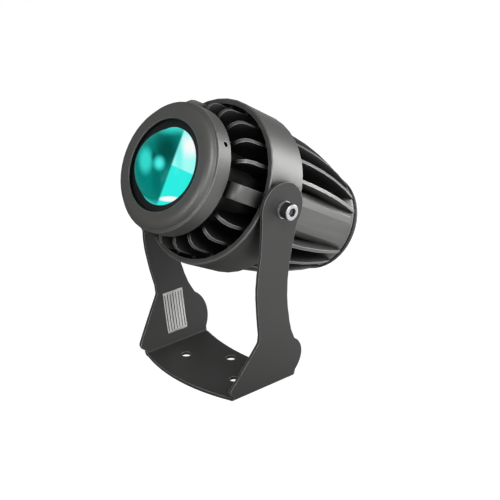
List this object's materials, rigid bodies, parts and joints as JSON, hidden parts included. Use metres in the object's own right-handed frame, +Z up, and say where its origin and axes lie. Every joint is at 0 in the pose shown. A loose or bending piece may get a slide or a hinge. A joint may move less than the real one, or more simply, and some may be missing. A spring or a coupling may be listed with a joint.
{
  "type": "led pinspot light",
  "caption": "Narrow-beam LED pinspot with a finned die-cast head, domed lens and rear cable gland, tilting in a bent steel yoke bracket.",
  "frame": {"origin": "on the underside of the bracket's base, straight below the tilt axis and midway between the arms", "axes": "+Z up, +X along the tilt axis to the right-hand arm as seen from behind the light, -Y the way the lens looks"},
  "size_m": [0.1288, 0.1659, 0.1806],
  "materials": {
    "bracket_paint": "fine textured anthracite powder coat",
    "casting_paint": "satin anthracite paint on die-cast aluminium",
    "black_steel": "blackened",
    "zinc_steel": "zinc plated",
    "nylon": "matte",
    "rubber": "matte",
    "black_plastic": "matte",
    "lens_glass": "polished, shown lit in cyan",
    "thermal_pad": "matte",
    "white_board": "solder mask",
    "emitter": "clear silicone over the chips",
    "red_insulation": "silicone insulation",
    "grey_plastic": "matte",
    "green_board": "solder mask",
    "terminal_plastic": "matte",
    "transformer_tape": "tape",
    "capacitor_sleeve": "shrink sleeve",
    "ferrite": "matte",
    "gland_plastic": "matte polyamide"
  },
  "bodies": {
    "bracket": {"bracket": "bracket_paint"},
    "head": {"heat_sink_body": "casting_paint", "front_bezel": "casting_paint", "rear_cover": "casting_paint", "bezel_set_screw": "black_steel", "pivot_bolt_left": "black_steel", "pivot_bolt_right": "black_steel", "lock_washer_left": "zinc_steel", "lock_washer_right": "zinc_steel", "led_board_screw_left": "zinc_steel", "led_board_screw_right": "zinc_steel", "rear_cover_screw_right": "zinc_steel", "rear_cover_screw_left_upper": "zinc_steel", "rear_cover_screw_left_lower": "zinc_steel", "friction_washer_left": "nylon", "friction_washer_right": "nylon", "bezel_gasket": "rubber", "lens_seal": "rubber", "rear_gasket": "rubber", "cable_gland_seal": "rubber", "lens_retainer": "black_plastic", "lens_holder": "black_plastic", "lens": "lens_glass", "thermal_pad": "thermal_pad", "led_board": "white_board", "led_emitter": "emitter", "led_lead_left": "red_insulation", "led_lead_right": "red_insulation", "driver_cradle": "grey_plastic", "driver_board": "green_board", "driver_terminal_output": "terminal_plastic", "driver_terminal_input": "terminal_plastic", "driver_transformer": "transformer_tape", "driver_capacitor_left": "capacitor_sleeve", "driver_capacitor_right": "capacitor_sleeve", "driver_inductor": "ferrite", "cable_gland_body": "gland_plastic", "cable_gland_nut": "gland_plastic", "cable_gland_locknut": "gland_plastic"}
  },
  "joints": [
    {"name": "head_tilt", "type": "hinge", "parent": "bracket", "child": "head", "pos_m": [0, 0, 0.1237], "axis": [1, 0, 0], "range_deg": [-62, 118]}
  ]
}
